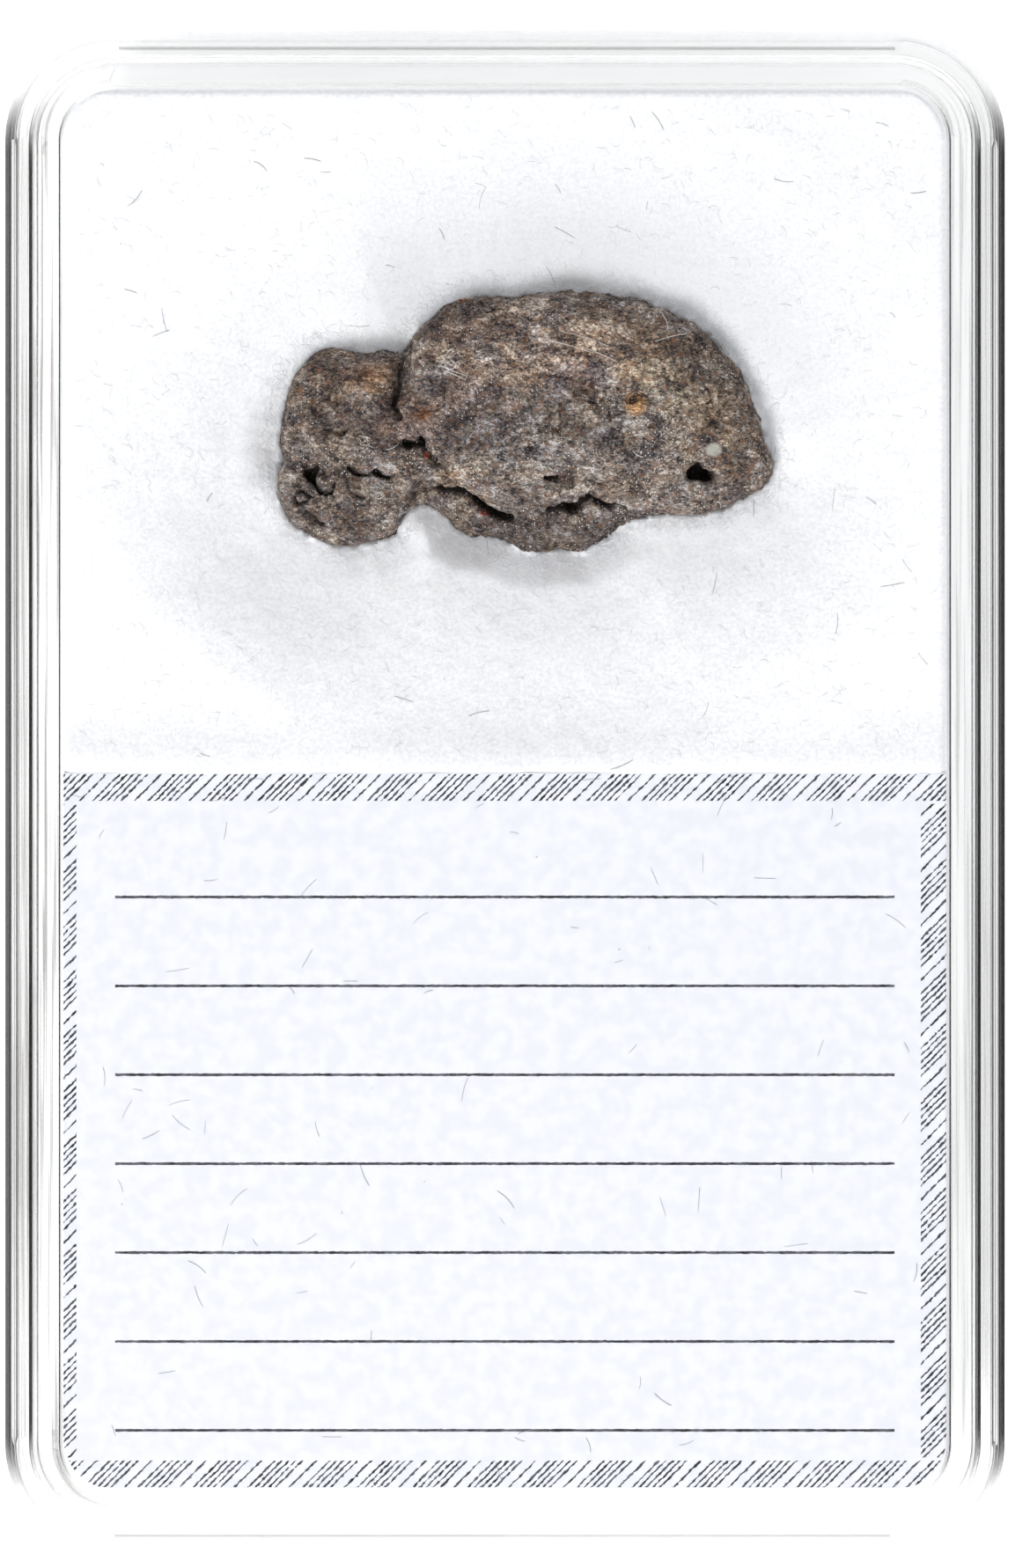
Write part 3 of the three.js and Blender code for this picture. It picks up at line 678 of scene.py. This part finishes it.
def make_tray(plastic):
    shape = rounded_block(0, 0, SHOULDER_HEIGHT)
    neck = step_in(shape, level_face(shape, SHOULDER_HEIGHT, 1), NECK_INSET, TRAY_HIGH.z - SHOULDER_HEIGHT)
    step_in(shape, neck, NECK_WALL, PLATE - TRAY_HIGH.z)
    step_in(shape, level_face(shape, 0, -1), FOOT_WIDTH, FOOT_RECESS)
    round_rim(shape, 0, EDGE_RADIUS, 6, outermost=True)
    round_rim(shape, TRAY_HIGH.z, RIM_RADIUS, 2)
    round_rim(shape, PLATE, TRAY_FLOOR_RADIUS, 3)
    round_rim(shape, SHOULDER_HEIGHT, RIM_RADIUS, 2, outermost=True)
    smooth_all(shape)
    even_normals(finish_piece(shape, "clear_tray", plastic, "clear_plastic", "base_tray"))


def make_card(material):
    size = CARD_HIGH - CARD_LOW
    middle = (CARD_LOW + CARD_HIGH) / 2
    shape = bmesh.new()
    bmesh.ops.create_cube(shape, size=1)
    bmesh.ops.scale(shape, vec=size, verts=shape.verts)
    bmesh.ops.translate(shape, vec=middle, verts=shape.verts)
    upright = [e for e in shape.edges if abs(e.verts[0].co.z - e.verts[1].co.z) > 0.01]
    near = [e for e in upright if e.verts[0].co.y < middle.y]
    bmesh.ops.bevel(shape, geom=near, offset=CARD_CORNER, segments=12,
                    affect="EDGES", profile=0.5, material=-1)
    for height in (CARD_LOW.z, CARD_HIGH.z):
        round_rim(shape, height, 0.03, 1)
    finish_piece(shape, "bordered_card", material, "card", "label_card")


# The stone's seams and cracks, darkened by painted shade with their depth: the points that each follows from
# the middle, half width and depth
SEAMS = [
    ([(-4.9, 3.3), (-5.0, 2.4), (-5.1, 1.6), (-5.25, 0.9), (-5.1, 0.2)], 0.1, 0.32),
    ([(-4.2, -0.95), (-3.75, -1.4), (-3.15, -2.0)], 0.07, 0.3),
    ([(-4.5, -2.75), (-3.9, -2.6), (-3.4, -2.4)], 0.06, 0.25),
    ([(-3.6, -2.62), (-3.2, -2.7), (-2.6, -2.8), (-1.9, -3.2), (-1.4, -3.55), (-0.7, -3.85)], 0.12, 0.85),
    ([(1.0, -3.5), (1.6, -3.42), (2.1, -3.4), (2.3, -3.1)], 0.11, 0.65),
    ([(2.3, -3.05), (2.8, -3.1), (3.2, -3.2), (3.9, -3.35)], 0.1, 0.6),
    ([(0.8, -2.2), (1.3, -2.18)], 0.08, 0.4),
    ([(2.4, -2.3), (3.2, -2.5)], 0.05, 0.2),
    ([(-7.1, -1.75), (-6.8, -2.0), (-6.2, -1.95), (-5.4, -2.2)], 0.08, 0.36),
    ([(-7.0, -2.8), (-6.5, -2.95)], 0.06, 0.25),
    ([(-8.45, -1.9), (-8.5, -2.2), (-8.25, -2.7), (-7.85, -2.75), (-7.75, -2.4)], 0.08, 0.45),
    ([(-9.3, -2.9), (-9.0, -2.65), (-8.75, -2.9), (-8.95, -3.25), (-9.25, -3.2), (-9.3, -2.9)], 0.07, 0.36),
    ([(-8.8, -3.6), (-8.4, -3.95), (-8.1, -4.1)], 0.08, 0.42),
    ([(-7.4, -0.5), (-7.0, 0.3)], 0.05, 0.15),
    ([(-5.1, -0.75), (-4.7, -0.9), (-4.2, -0.8)], 0.11, 0.4),
    ([(-7.2, -3.95), (-6.9, -3.85)], 0.07, 0.35),
    ([(-6.2, -5.1), (-5.2, -4.9), (-4.9, -4.2)], 0.08, 0.22),
    ([(-1.1, 3.5), (1.3, 3.1), (3.4, 2.4), (5.2, 1.4)], 0.07, 0.09),
    ([(-0.4, 4.3), (2.4, 3.9), (4.6, 3.2)], 0.06, 0.07),
    ([(0.4, 2.0), (2.6, 1.7), (4.0, 1.3)], 0.08, 0.14),
    ([(5.6, -2.9), (6.6, -3.2), (8.0, -2.9)], 0.07, 0.12),
    ([(-2.1, -1.6), (-0.8, -1.9), (0.6, -1.75)], 0.06, 0.1),
    ([(4.2, -3.6), (3.6, -4.2), (3.0, -4.6)], 0.08, 0.18),
]
# Pits: place, half widths along x and y, and depth
PITS = [
    (6.85, -1.92, 0.22, 0.2, 0.5),
    (7.15, -2.05, 0.34, 0.2, 0.75),
    (-4.45, -0.85, 0.3, 0.13, 0.3),
    (-7.35, -0.3, 0.1, 0.1, 0.3),
    (-8.6, -2.0, 0.14, 0.2, 0.4),
    (-3.6, 2.45, 0.16, 0.12, 0.2),
    (4.3, 0.95, 0.16, 0.15, 0.18),
    (0.2, -1.0, 0.16, 0.07, 0.22),
    (0.0, -0.4, 0.2, 0.08, 0.16),
    (-2.6, -0.95, 0.2, 0.06, 0.22),
    (-2.0, -2.05, 0.25, 0.06, 0.18),
    (-7.7, 0.9, 0.15, 0.12, 0.2),
    (-6.1, -0.1, 0.13, 0.1, 0.22),
    (-4.6, 1.5, 0.1, 0.2, 0.2),
    (-1.7, 2.9, 0.2, 0.1, 0.16),
    (2.3, 1.3, 0.24, 0.12, 0.2),
    (3.4, 0.4, 0.12, 0.1, 0.14),
    (5.9, 0.0, 0.12, 0.12, 0.14),
    (8.3, -1.6, 0.14, 0.1, 0.16),
    (0.4, -4.5, 0.2, 0.14, 0.25),
    (1.9, -4.9, 0.25, 0.14, 0.22),
    (-0.8, -4.6, 0.14, 0.12, 0.2),
]
# Small knobs: place, half width and height
KNOBS = [
    (-8.05, -2.3, 0.26, 0.24),
    (-9.02, -2.92, 0.2, 0.14),
    (-2.9, -2.3, 0.3, 0.14),
    (-6.4, 1.7, 0.5, 0.12),
    (-8.6, 2.2, 0.4, 0.12),
    (7.5, -1.05, 0.2, 0.08),
]
# Layers of lumps and grain, from coarse to fine: height, how many to a millimetre, and shift
GRAIN_LAYERS = [
    (0.13, 0.8, (0, 0, 0)),
    (0.1, 2.1, (7, 0, 0)),
    (0.075, 4.3, (0, 5, 0)),
    (0.05, 8.7, (0, 0, 3)),
]
CREASE_DEPTH = 0.32
CREASE_WIDTH = 0.05


def seam_depth(place, points, width, depth):
    """How deep a seam is at a place, fading towards its two ends."""
    nearest = 1e9
    for start, stop in zip(points, points[1:]):
        a, b = Vector(start), Vector(stop)
        share = max(0.0, min(1.0, (place - a).dot(b - a) / (b - a).length_squared))
        nearest = min(nearest, (place - a.lerp(b, share)).length)
    return depth * math.exp(-(nearest / width) ** 2)


def stone_relief(place):
    """Rise and hollowing of the stone's fine features at a place seen from above, in millimetres."""
    wander = Vector((noise.noise(Vector((place.x * 2.1, place.y * 2.1, 4.0))),
                     noise.noise(Vector((place.x * 2.1, place.y * 2.1, 9.0)))))
    fray = Vector((noise.noise(Vector((place.x * 7, place.y * 7, 2.0))),
                   noise.noise(Vector((place.x * 7, place.y * 7, 6.0)))))
    there = place + 0.1 * wander + 0.06 * fray
    hollow = 0.0
    for points, width, depth in SEAMS:
        hollow += seam_depth(there, points, width, depth)
    for x, y, wide, long, depth in PITS:
        hollow += depth * math.exp(-((there.x - x) / wide) ** 2 - ((there.y - y) / long) ** 2)
    rise = 0.0
    for x, y, wide, height in KNOBS:
        rise += height * math.exp(-((there.x - x) ** 2 + (there.y - y) ** 2) / wide ** 2)
    return rise, hollow


def grain_height(place, upper):
    """Lumps and grain of the broken surface, and on its upper side a few thin creases."""
    crease = abs(noise.noise(place * 1.25 + Vector((11, 4, 0))))
    sparse = max(0.0, noise.noise(place * 0.6 + Vector((3, 3, 8))) + 0.15)
    height = -upper * CREASE_DEPTH * sparse * math.exp(-(crease / CREASE_WIDTH) ** 2)
    for rise, pitch, shift in GRAIN_LAYERS:
        height += rise * noise.noise(place * pitch + Vector(shift))
    return height


def make_stone(material):
    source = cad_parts["meteorite"]
    rough = bmesh.new()
    rough.from_mesh(source.data)
    rough.transform(Matrix.Scale(1 / MM, 4))
    bmesh.ops.remove_doubles(rough, verts=rough.verts, dist=0.001)
    mesh = bpy.data.meshes.new("stone_form")
    rough.to_mesh(mesh)
    rough.free()
    form = bpy.data.objects.new("stone_form", mesh)
    bpy.context.scene.collection.objects.link(form)
    remesh = form.modifiers.new("even_faces", "REMESH")
    remesh.mode = "VOXEL"
    remesh.voxel_size = GRAIN_VOXEL
    soften = form.modifiers.new("soften", "SMOOTH")
    soften.factor = 0.5
    soften.iterations = 7
    shape = bmesh.new()
    shape.from_object(form, bpy.context.evaluated_depsgraph_get())
    bpy.data.objects.remove(form)
    bpy.data.meshes.remove(mesh)
    shape.normal_update()
    hollows = shape.verts.layers.float.new("hollow")
    moves = []
    for vert in shape.verts:
        seen = Vector((vert.co.x, vert.co.y)) - STONE_CENTRE
        top = max(0.0, min(1.0, (vert.normal.z - 0.1) / 0.35))
        height = grain_height(vert.co, top)
        if top > 0:
            rise, hollow = stone_relief(seen)
            height += top * (rise - hollow)
            vert[hollows] = top * hollow
        moves.append(vert.normal * height)
    for vert, move in zip(shape.verts, moves):
        vert.co += move
    smooth_all(shape)
    return finish_piece(shape, "rough_stone", material, "stone", "meteorite")


def tree_of(piece):
    """A search tree of a piece's surface, in millimetres."""
    mesh = piece.data
    points = [vert.co / MM for vert in mesh.vertices]
    faces = [tuple(face.vertices) for face in mesh.polygons]
    return BVHTree.FromPolygons(points, faces)


def look_along(surface, x, y, up):
    """Height at which the stone is met from below, looking up, or from above, looking down."""
    start = Vector((x, y, 0 if up else BOX_HEIGHT))
    hit = surface.ray_cast(start, Vector((0, 0, 1 if up else -1)))[0]
    return None if hit is None else hit.z


def outline_of(surface):
    """A function of x and y: how far a place lies outside the stone's outline, and the rim's height there."""
    inside = []
    count_x = int((STONE_HIGH.x - STONE_LOW.x + 2) / OUTLINE_STEP)
    count_y = int((STONE_HIGH.y - STONE_LOW.y + 2) / OUTLINE_STEP)
    for i in range(count_x):
        for j in range(count_y):
            x = STONE_LOW.x - 1 + i * OUTLINE_STEP
            y = STONE_LOW.y - 1 + j * OUTLINE_STEP
            top = look_along(surface, x, y, False)
            if top is not None:
                inside.append((x, y, (top + look_along(surface, x, y, True)) / 2))
    near = kdtree.KDTree(len(inside))
    for index, (x, y, _) in enumerate(inside):
        near.insert((x, y, 0), index)
    near.balance()

    def outline(x, y):
        found = near.find_n((x, y, 0), RIM_SAMPLES)
        away = max(0.0, found[0][2] - OUTLINE_STEP / 2)
        rim = sum(inside[index][2] for _, index, _ in found) / len(found)
        settled = min(1.0, away / RIM_SETTLING)
        return away, rim + (MEAN_RIM - rim) * settled * settled * (3 - 2 * settled)
    return outline


def make_foam(material, surface, outline):
    """The pad: a fine sheet over the tray with its dip, closed below by its sides and underside."""
    width = FOAM_HIGH.x - FOAM_LOW.x
    length = FOAM_HIGH.y - FOAM_LOW.y
    middle = (FOAM_LOW + FOAM_HIGH) / 2
    shape = bmesh.new()
    from_stone = shape.verts.layers.float.new("from_stone")
    columns, rows = int(width / FOAM_STEP), int(length / FOAM_STEP)
    bmesh.ops.create_grid(shape, x_segments=columns, y_segments=rows, size=0.5)
    bmesh.ops.scale(shape, vec=(width, length, 1), verts=shape.verts)
    for vert in shape.verts:
        inwards = max(0.0, abs(vert.co.y) - (length / 2 - FOAM_CORNER))
        cut = FOAM_CORNER - math.sqrt(max(0.0, FOAM_CORNER ** 2 - inwards ** 2))
        vert.co.x *= (width / 2 - cut) / (width / 2)
        from_side = min(width / 2 - cut - abs(vert.co.x), length / 2 - abs(vert.co.y))
        roll = max(0.0, FOAM_EDGE - from_side)
        drop = FOAM_EDGE - math.sqrt(max(0.0, FOAM_EDGE ** 2 - roll ** 2))
        vert.co += Vector((middle.x, middle.y, FOAM_HIGH.z - drop))
        away, rim = outline(vert.co.x, vert.co.y)
        vert[from_stone] = away
        apart = Vector((vert.co.x, vert.co.y)) - STONE_CENTRE
        reach = max(1.0, math.hypot(apart.x / STONE_OVAL.x, apart.y / STONE_OVAL.y))
        past_oval = apart.length * (1 - 1 / reach)
        share = min(1.0, (away + (past_oval - away) * min(1.0, away / OVAL_SETTLING) ** 2) / DIP_REACH)
        vert.co.z -= (vert.co.z - rim) * (1 - share) ** DIP_CURVE
        top = look_along(surface, vert.co.x, vert.co.y, False)
        if top is not None:
            bottom = look_along(surface, vert.co.x, vert.co.y, True)
            vert.co.z = bottom - BED_GAP if top - bottom > RIM_THICKNESS else (top + bottom) / 2
        else:
            swell = 0.05 * noise.noise(vert.co * 0.5) + 0.025 * noise.noise(vert.co * 1.7)
            vert.co.z += (swell - FOAM_SAG) * min(1.0, away)
            past_card = vert.co.y - CARD_HIGH.y
            if past_card > -CARD_OVERLAP:
                vert.co.z += CARD_BULGE * math.exp(-(past_card / CARD_BULGE_LENGTH) ** 2)
    edges = [edge for edge in shape.edges if edge.is_boundary]
    sides = bmesh.ops.extrude_edge_only(shape, edges=edges)["geom"]
    low = [part for part in sides if isinstance(part, bmesh.types.BMVert)]
    for vert in low:
        vert.co.z = FOAM_LOW.z
    bottom = [edge for edge in shape.edges if edge.is_boundary]
    bmesh.ops.contextual_create(shape, geom=bottom)
    bmesh.ops.recalc_face_normals(shape, faces=shape.faces)
    smooth_all(shape)
    piece = finish_piece(shape, "soft_foam", material, "foam", "foam_pad")
    return piece


def strand_template():
    """A thin three-sided strand of unit length along Z, with rings to bend it at."""
    strand = bmesh.new()
    bmesh.ops.create_cone(strand, cap_ends=True, segments=3, radius1=1, radius2=1, depth=1)
    bmesh.ops.translate(strand, vec=(0, 0, 0.5), verts=strand.verts)
    long_edges = [e for e in strand.edges if abs(e.verts[0].co.z - e.verts[1].co.z) > 0.5]
    bmesh.ops.subdivide_edges(strand, edges=long_edges, cuts=5, use_grid_fill=True)
    mesh = bpy.data.meshes.new("strand")
    strand.to_mesh(mesh)
    strand.free()
    return mesh


def add_strand(shape, template, foot, heading, length, bend, radius, height_at, lift):
    """Lays one curved strand on a surface, from its foot, along a heading that turns by bend."""
    before = len(shape.verts)
    shape.from_mesh(template)
    shape.verts.ensure_lookup_table()
    for vert in shape.verts[before:]:
        along = vert.co.z
        turn = heading + bend * (along - 0.5)
        ahead = Vector((math.cos(turn), math.sin(turn)))
        mid_turn = heading + bend * (along - 1) / 2
        spot = foot + along * length * Vector((math.cos(mid_turn), math.sin(mid_turn)))
        side = Vector((-ahead.y, ahead.x)) * vert.co.x * radius
        rest = height_at(spot.x, spot.y)
        rise = lift * math.sin(math.pi * along)
        vert.co = Vector((spot.x + side.x, spot.y + side.y, rest + rise + radius * (1 + vert.co.y)))


def height_over(surface, fallback):
    def height_at(x, y):
        hit = surface.ray_cast(Vector((x, y, BOX_HEIGHT)), Vector((0, 0, -1)))[0]
        return fallback if hit is None else hit.z
    return height_at


def make_lint(template, material, foam_top):
    """Grey fibres that lie here and there on the foam and the card."""
    chance = random.Random(7)
    shape = bmesh.new()

    def rest_height(x, y):
        if CARD_LOW.x < x < CARD_HIGH.x and CARD_LOW.y < y < CARD_HIGH.y:
            return CARD_HIGH.z
        return foam_top(x, y)
    for _ in range(LINT_COUNT):
        foot = Vector((chance.uniform(-17, 17), chance.uniform(-27, 27.5)))
        add_strand(shape, template, foot, chance.uniform(0, 2 * math.pi), chance.uniform(0.3, 1.0),
                   chance.uniform(-0.7, 0.7), chance.uniform(0.005, 0.009), rest_height, 0.02)
    smooth_all(shape)
    finish_piece(shape, "grey_lint", material, "foam")


def make_fuzz(template, material, foam_top, outline):
    """The foam's short white nap, thickest where it meets the stone."""
    chance = random.Random(33)
    shape = bmesh.new()
    placed = 0
    while placed < FUZZ_COUNT:
        near = placed < FUZZ_COUNT * 0.6
        reach_x, reach_y = (12, 7.5) if near else (17, 13)
        x = chance.uniform(-reach_x, reach_x) + (STONE_CENTRE.x if near else 0)
        y = chance.uniform(-reach_y, reach_y) + (STONE_CENTRE.y if near else 14.5)
        away = outline(x, y)[0]
        if near and not 0.02 < away < 0.7 or not near and away < 0.5:
            continue
        placed += 1
        length = chance.uniform(0.18, 0.5)
        add_strand(shape, template, Vector((x, y)), chance.uniform(0, 2 * math.pi), length,
                   chance.uniform(-2.5, 2.5), chance.uniform(0.005, 0.009), foam_top,
                   chance.uniform(0.01, 0.08))
    smooth_all(shape)
    finish_piece(shape, "white_fuzz", material, "foam")


# Pale fibres on the stone: start, heading in degrees, length, and bend in degrees
LONG_FIBRES = [
    (-3.4, 2.3, -22, 1.15, 8),
    (-3.25, 2.1, -24, 0.95, -6),
    (-3.5, 2.45, 30, 0.3, 50),
    (4.9, 4.95, -28, 1.5, -70),
    (5.4, 4.5, -70, 0.9, -60),
    (5.2, 3.3, 14, 1.5, -12),
    (-5.6, -1.05, 28, 0.6, 60),
    (-6.7, -0.5, -12, 0.5, -20),
    (4.3, -1.1, -30, 0.5, 60),
    (0.6, 3.4, -16, 2.2, -8),
    (1.4, 3.7, -18, 2.0, -10),
    (2.4, 3.0, -24, 1.6, -8),
]
# Small curls on the stone: place, spread and count
CURLS = [
    (-0.35, -2.5, 0.8, 12),
    (0.4, -3.1, 0.7, 5),
    (-3.2, -3.2, 0.7, 3),
    (7.4, -3.3, 1.4, 6),
    (4.6, -1.0, 1.0, 3),
    (6.2, 3.6, 1.6, 4),
    (-6.5, -0.8, 1.0, 3),
    (1.0, 0.6, 4.0, 8),
]


def make_pale_fibres(template, material, stone_top):
    """Fine pale fibres that cling to the stone."""
    chance = random.Random(21)
    shape = bmesh.new()
    for x, y, heading, length, bend in LONG_FIBRES:
        add_strand(shape, template, STONE_CENTRE + Vector((x, y)), math.radians(heading), length,
                   math.radians(bend), 0.015, stone_top, 0.05)
    for x, y, spread, count in CURLS:
        for _ in range(count):
            foot = STONE_CENTRE + Vector((x + chance.gauss(0, spread / 2), y + chance.gauss(0, spread / 2)))
            add_strand(shape, template, foot, chance.uniform(-0.9, 0.6), chance.uniform(0.15, 0.5),
                       chance.uniform(-3.4, 3.4), chance.uniform(0.006, 0.01), stone_top, 0.05)
    smooth_all(shape)
    finish_piece(shape, "pale_fibres", material, "foam")


# Stage, camera and lights

def make_floor(material):
    shape = bmesh.new()
    bmesh.ops.create_grid(shape, x_segments=1, y_segments=1, size=1.5)
    mesh = bpy.data.meshes.new("floor")
    shape.to_mesh(mesh)
    shape.free()
    mesh.materials.append(material)
    floor = bpy.data.objects.new("floor", mesh)
    bpy.context.scene.collection.objects.link(floor)


def make_camera():
    data = bpy.data.cameras.new("camera")
    data.sensor_fit = "VERTICAL"
    data.sensor_height = SENSOR
    data.lens = SENSOR * CAMERA_DISTANCE / VIEW_LENGTH
    data.clip_start = 0.01
    camera = bpy.data.objects.new("camera", data)
    widest = BOX_HEIGHT - EDGE_RADIUS
    camera.location = Vector((VIEW_CENTRE.x, VIEW_CENTRE.y, widest + CAMERA_DISTANCE)) * MM
    bpy.context.scene.collection.objects.link(camera)
    bpy.context.scene.camera = camera


def add_area(name, place, size, power, colour):
    data = bpy.data.lights.new(name, "AREA")
    data.shape = "RECTANGLE"
    data.size, data.size_y = size
    data.energy = power
    data.color = colour
    light = bpy.data.objects.new(name, data)
    light.location = place
    light.rotation_euler = Vector(place).to_track_quat("Z", "Y").to_euler()
    bpy.context.scene.collection.objects.link(light)


def make_world():
    """A soft white room that is darker overhead and towards both sides."""
    world = bpy.data.worlds.new("studio")
    world.use_nodes = True
    tree = world.node_tree
    towards = add_node(tree, "ShaderNodeTexCoord").outputs["Generated"]
    parts = add_node(tree, "ShaderNodeSeparateXYZ", {0: towards})
    sideways = math_node(tree, "MULTIPLY_ADD", math_node(tree, "ABSOLUTE", parts.outputs["X"]), -0.35, 1.0)
    low = between(tree, parts.outputs["Z"], 0.97, 0.85)
    forward = math_node(tree, "MULTIPLY_ADD", parts.outputs["Y"], -0.25, 1.0)
    level = math_node(tree, "MULTIPLY", math_node(tree, "MULTIPLY", sideways, low), forward)
    level = math_node(tree, "MULTIPLY", level, ROOM_LIGHT)
    background = tree.nodes["Background"]
    tree.links.new(level, background.inputs["Strength"])
    background.inputs["Color"].default_value = (0.975, 0.985, 1, 1)
    bpy.context.scene.world = world


def make_lights():
    make_world()
    add_area("key", (-0.25, -0.42, 0.5), (0.3, 0.25), KEY_POWER, (1.0, 0.995, 0.985))
    bpy.context.scene.view_settings.view_transform = "Standard"
    cycles = bpy.context.scene.cycles
    cycles.caustics_refractive = False
    cycles.caustics_reflective = False
    cycles.diffuse_bounces = 1
    cycles.glossy_bounces = 2
    cycles.transmission_bounces = 6
    cycles.max_bounces = 8
    cycles.transparent_max_bounces = 16


make_camera()
make_lights()
make_floor(floor_material())
make_tray(clear_plastic_material("tray_plastic", 0.4, 1.0))
make_lid(clear_plastic_material("lid_plastic", 1.0, 0.5))
make_card(card_material())
stone = make_stone(stone_material())
stone_surface = tree_of(stone)
outline = outline_of(stone_surface)
foam = make_foam(foam_material(), stone_surface, outline)
foam_top = height_over(tree_of(foam), FOAM_HIGH.z)
strand = strand_template()
grey = fibre_material("grey_fibre", srgb(150, 150, 150), srgb(90, 90, 90))
make_lint(strand, grey, foam_top)
# The white and pale fibres get a little painted glow
white = fibre_material("white_fibre", srgb(252, 252, 253), srgb(236, 237, 240), 0.2)
make_fuzz(strand, white, foam_top, outline)
pale = fibre_material("pale_fibre", srgb(235, 233, 228), srgb(190, 186, 180), 0.12)
make_pale_fibres(strand, pale, height_over(stone_surface, STONE_LOW.z))
bpy.data.meshes.remove(strand)
